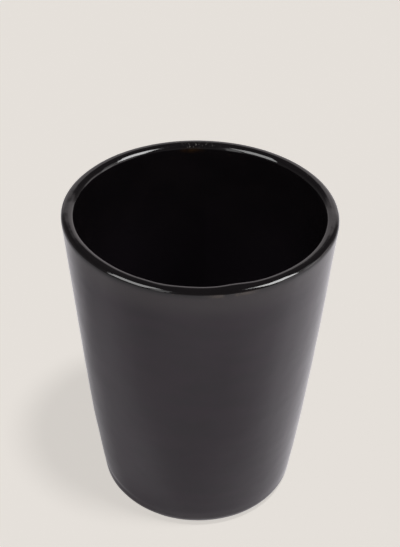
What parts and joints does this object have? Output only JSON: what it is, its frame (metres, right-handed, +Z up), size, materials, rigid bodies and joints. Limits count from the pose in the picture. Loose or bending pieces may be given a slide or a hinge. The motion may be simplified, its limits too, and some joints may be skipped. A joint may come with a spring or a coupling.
{
  "type": "candle jar",
  "caption": "Round tapered glazed ceramic tumbler with a plain rounded rim, open top and recessed foot, for poured wax candles.",
  "frame": {"origin": "centre of the foot, on the surface the jar stands on", "axes": "+Z up along the jar's axis of revolution; X and Y are interchangeable"},
  "size_m": [0.0805, 0.0806, 0.1],
  "materials": {
    "bare_clay": "matt, fine-grained fired stoneware",
    "outer_black_glaze": "gloss with faint orange peel and pinholes",
    "inner_black_glaze": "high gloss"
  },
  "bodies": {
    "root": {"stoneware_body": "bare_clay", "outer_glaze": "outer_black_glaze", "liner_glaze": "inner_black_glaze", "base_glaze": "outer_black_glaze"}
  },
  "joints": []
}
